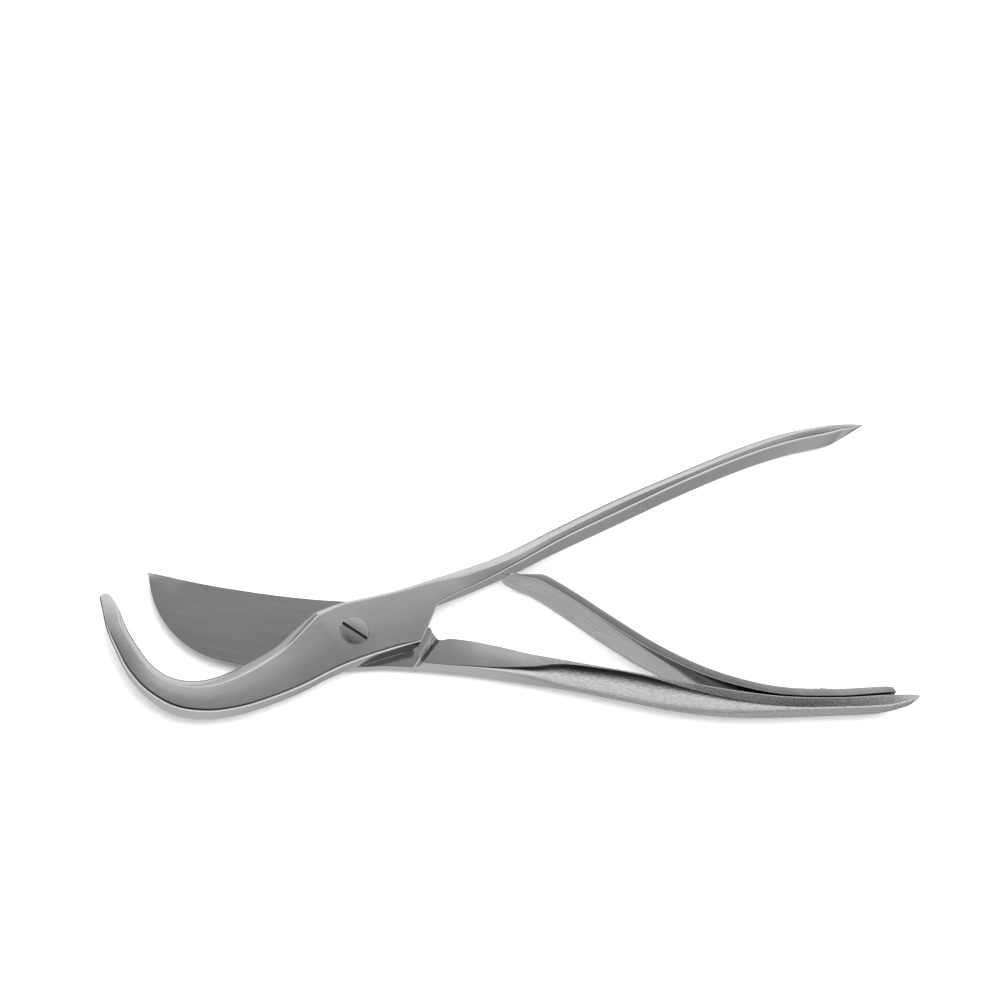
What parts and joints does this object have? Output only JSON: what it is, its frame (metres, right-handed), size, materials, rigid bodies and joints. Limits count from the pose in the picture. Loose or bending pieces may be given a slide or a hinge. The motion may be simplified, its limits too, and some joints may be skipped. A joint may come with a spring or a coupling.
{
  "type": "hoof nipper",
  "caption": "Spring-opened bypass shear for hooves: hooked counter blade, broad convex blade, long slender handles and a leaf spring between them.",
  "frame": {"origin": "on the pivot axis, at the outer face of the rear cheek, where the pivot screw's tail ends flush", "axes": "+Z along the pivot axis towards the screw head, +X towards the handles with the jaws at -X, +Y towards the hook lever's handle"},
  "size_m": [0.2311, 0.1031, 0.0124],
  "materials": {
    "lever_steel": "satin forged stainless steel with polished edges",
    "spring_steel": "satin stainless spring steel",
    "screw_steel": "turned and lightly polished stainless steel"
  },
  "bodies": {
    "blade_lever": {"blade_lever": "lever_steel", "pivot_screw": "screw_steel", "spring_screw": "screw_steel"},
    "hook_lever": {"hook_lever": "lever_steel"},
    "leaf_spring": {"leaf_spring": "spring_steel"}
  },
  "joints": [
    {"name": "handle_pivot", "type": "hinge", "parent": "blade_lever", "child": "hook_lever", "pos_m": [0, 0, 0], "axis": [0, 0, -1], "range_deg": [0, 20], "stiffness_Nm_per_rad": 3},
    {"name": "leaf_flex", "type": "hinge", "parent": "blade_lever", "child": "leaf_spring", "pos_m": [0.105, -0.007, 0.0044], "axis": [0, 0, 1], "range_deg": [0, 16.2], "deforming": ["leaf_spring"]}
  ],
  "couplings": [
    {"joint": "leaf_flex", "follows": "handle_pivot", "ratio": 0.8}
  ]
}
